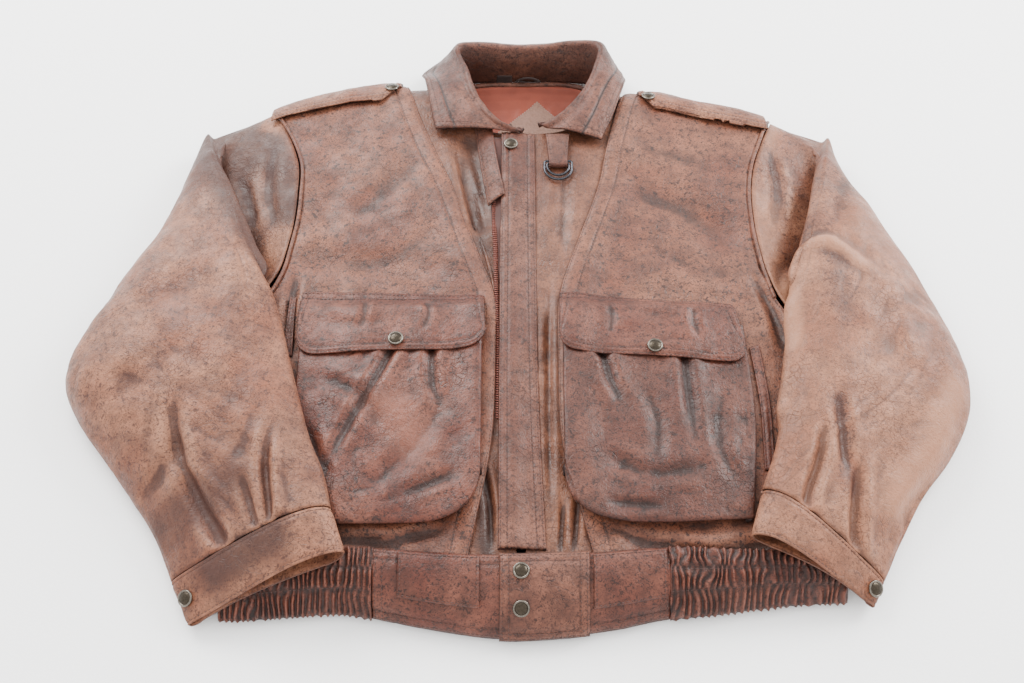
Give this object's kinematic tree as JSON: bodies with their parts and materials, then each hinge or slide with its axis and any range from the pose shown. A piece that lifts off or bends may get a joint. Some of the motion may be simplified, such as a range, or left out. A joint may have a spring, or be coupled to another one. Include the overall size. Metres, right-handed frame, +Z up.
{
  "type": "worn leather jacket",
  "caption": "Waist-length leather jacket laid flat on its back: bellows pockets, shirred waistband, shoulder straps and sleeves folded down beside the body.",
  "frame": {"origin": "middle of the back panel's underside, on the surface the jacket lies on", "axes": "+X across the chest to the left sleeve's side (the viewer's right), +Y from the hem to the collar, +Z up off the surface"},
  "size_m": [0.8622, 0.7257, 0.0811],
  "materials": {
    "leather": "worn aniline leather, pale pinkish brown, scuffed",
    "leather_smooth": "smoother worn leather beside the closing",
    "leather_dark": "darker red-brown leather with a slight shine on the folds",
    "satin_lining": "rust satin",
    "patch_leather": "tan suede-like leather",
    "dark_tape": "woven tape",
    "zip_tape": "zip tape with small teeth",
    "snap_metal": "dull nickel",
    "ring_metal": "dark gunmetal"
  },
  "bodies": {
    "jacket": {"back_panel": "leather", "band_patch_left": "leather_dark", "band_patch_right": "leather_dark", "centre_front_left": "leather_smooth", "centre_front_right": "leather_smooth", "collar": "leather", "cuff_left": "leather", "cuff_right": "leather", "elastic_left": "leather_dark", "elastic_right": "leather_dark", "epaulette_left": "leather", "epaulette_right": "leather", "flap_left": "leather_dark", "flap_right": "leather_dark", "hanger_loop": "dark_tape", "neck_label": "dark_tape", "neck_lining": "satin_lining", "neck_patch": "patch_leather", "placket": "leather", "pocket_left": "leather_dark", "pocket_right": "leather_dark", "ring_loop": "leather", "side_front_left": "leather", "side_front_right": "leather", "side_welt_left": "leather_dark", "side_welt_right": "leather_dark", "sleeve_left": "leather", "sleeve_right": "leather", "snap_collar": "snap_metal", "snap_cuff_left": "snap_metal", "snap_cuff_right": "snap_metal", "snap_epaulette_left": "snap_metal", "snap_epaulette_right": "snap_metal", "snap_flap_left": "snap_metal", "snap_flap_right": "snap_metal", "snap_hem_lower": "snap_metal", "snap_hem_upper": "snap_metal", "snap_tab": "leather", "throat_tab": "leather", "waistband_back": "leather_dark", "waistband_front_left": "leather_dark", "waistband_front_right": "leather_dark", "zip_strip": "zip_tape"},
    "ring_outer": {"d_ring_outer": "ring_metal"},
    "ring_inner": {"d_ring_inner": "ring_metal"}
  },
  "joints": [
    {"name": "outer_ring_swing", "type": "hinge", "parent": "jacket", "child": "ring_outer", "pos_m": [0.04, 0.1936, 0.05314], "axis": [-1, 0, 0], "range_deg": [0, 90]},
    {"name": "inner_ring_swing", "type": "hinge", "parent": "jacket", "child": "ring_inner", "pos_m": [0.04, 0.1903, 0.05314], "axis": [-1, 0, 0], "range_deg": [0, 90]}
  ]
}
